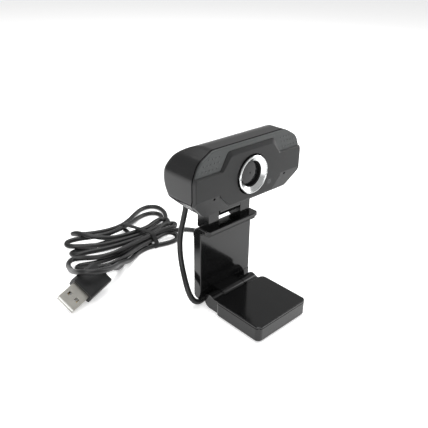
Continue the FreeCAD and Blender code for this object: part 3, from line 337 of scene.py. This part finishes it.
def make_tie():
    """A flat strap pulled tight round the strands that cross its plane."""
    around = []
    for a, b in zip(lead_line, lead_line[1:]):
        if a.y > TIE_NEAR and (a.x - TIE_X) * (b.x - TIE_X) <= 0 and a.x != b.x:
            middle = a.lerp(b, (TIE_X - a.x) / (b.x - a.x))
            if middle.y < TIE_FAR:
                for step in range(STRAND_SIDES):
                    angle = math.tau * step / STRAND_SIDES
                    reach = CABLE_DIAMETER / 2 + TIE_GAP
                    around.append((middle.y + reach * math.cos(angle),
                                   max(TIE_GAP, middle.z + reach * math.sin(angle))))
    loop = convex_loop(around)
    near, far = min(y for y, _ in loop), max(y for y, _ in loop)
    mesh = bmesh.new()
    rings = []
    for i, (y, z) in enumerate(loop):
        before, after = loop[i - 1], loop[(i + 1) % len(loop)]
        along = Vector((0, after[0] - before[0], after[1] - before[1])).normalized()
        out = Vector((0, along.z, -along.y))
        x = TIE_X + TIE_LEAN * (0.5 - (y - near) / (far - near))
        corners = []
        for side, lift in TIE_PROFILE:
            place = Vector((x + side * TIE_WIDTH / 2, y, z)) + out * TIE_THICK * lift
            place.z = max(place.z, TIE_LOWEST)
            corners.append(mesh.verts.new(place))
        rings.append(corners)
    for one, two in zip(rings, rings[1:] + rings[:1]):
        for k, (here, there) in enumerate(zip(one, two)):
            beside = (k + 1) % len(TIE_PROFILE)
            mesh.faces.new((here, one[beside], two[beside], there))
    made = bpy.data.meshes.new("tie_strap")
    mesh.to_mesh(made)
    mesh.free()
    return smooth(mesh_object("tie_strap", made), 35)


tie = finish_piece(make_tie(), "clip", "tie_plastic")
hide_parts("cable_tie")

# ---------------------------------------------------------------- dots moulded in the trim


def dot_field(name, places, radius, height, front):
    """Low round studs on a face that looks along -Y."""
    mesh = bmesh.new()
    for x, z in places:
        bmesh.ops.create_uvsphere(
            mesh, u_segments=12, v_segments=8, radius=radius,
            matrix=Matrix.Translation((x, front, z)) @ Matrix.Diagonal((1, height / radius, 1, 1)))
    made = bpy.data.meshes.new(name)
    mesh.to_mesh(made)
    mesh.free()
    return smooth(mesh_object(name, made), 80)


trim_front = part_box("upper_trim")[0].y
DOT_RADIUS, DOT_HEIGHT = 0.55 * MM, 0.2 * MM
TRIM_ROWS = ((97.3, 22.0, 31.2), (94.7, 23.0, 34.6), (91.8, 24.0, 35.8))
TRIM_PITCH = 2.35  # rows are height, nearest and farthest dot from the middle, in millimetres
dot_places = []
for z, first, last in TRIM_ROWS:
    count = int((last - first) / TRIM_PITCH) + 1
    for i in range(count):
        for side in (-1, 1):
            dot_places.append((side * (first + i * TRIM_PITCH) * MM, z * MM))
trim_dots = dot_field("trim_dots", dot_places, DOT_RADIUS, DOT_HEIGHT, trim_front)
finish_piece(trim_dots, "head", "trim_plastic")

# ---------------------------------------------------------------- lead, given its material

cable.data.materials.append(looks["cable_jacket"])
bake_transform(cable)
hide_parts("cable_drop", "cable_run", "cable_hank", "cable_lead")

# ---------------------------------------------------------------- floor and light

FLOOR_HALF = 6
floor_mesh = bpy.data.meshes.new("floor")
floor_corners = [(x * FLOOR_HALF, y * FLOOR_HALF, 0) for x, y in ((-1, -1), (1, -1), (1, 1), (-1, 1))]
floor_mesh.from_pydata(floor_corners, [], [(0, 1, 2, 3)])
floor = mesh_object("floor", floor_mesh)
paper = moulding("pale_floor", (0.92, 0.92, 0.92), 0.75, 0.05, wear=0.004, specular=0.2)
paper_shader = paper.node_tree.nodes["Principled BSDF"]
paper_shader.inputs["Emission Color"].default_value = (1, 1, 1, 1)
paper_shader.inputs["Emission Strength"].default_value = 0.35
floor.data.materials.append(paper)


def softbox(name, place, aim, size, power):
    lamp = bpy.data.lights.new(name, "AREA")
    lamp.shape = "RECTANGLE"
    lamp.size, lamp.size_y = size
    lamp.energy = power
    made = bpy.data.objects.new(name, lamp)
    bpy.context.collection.objects.link(made)
    made.location = place
    made.rotation_euler = (Vector(aim) - Vector(place)).to_track_quat("-Z", "Y").to_euler()
    return made


softbox("top_box", (0.1, 0.25, 1.1), (0, 0.03, 0), (0.9, 0.9), 12)
softbox("front_left_box", (-0.9, -0.5, 0.6), (0, 0.03, 0.05), (0.5, 0.9), 8)
softbox("right_box", (0.9, -0.2, 0.45), (0, 0.03, 0.05), (0.5, 0.9), 6)

world = bpy.data.worlds.new("studio")
bpy.context.scene.world = world
world.use_nodes = True
backdrop = world.node_tree.nodes["Background"]
backdrop.inputs["Color"].default_value = (1, 1, 1, 1)
backdrop.inputs["Strength"].default_value = 0.5
bpy.context.scene.view_settings.view_transform = "Standard"
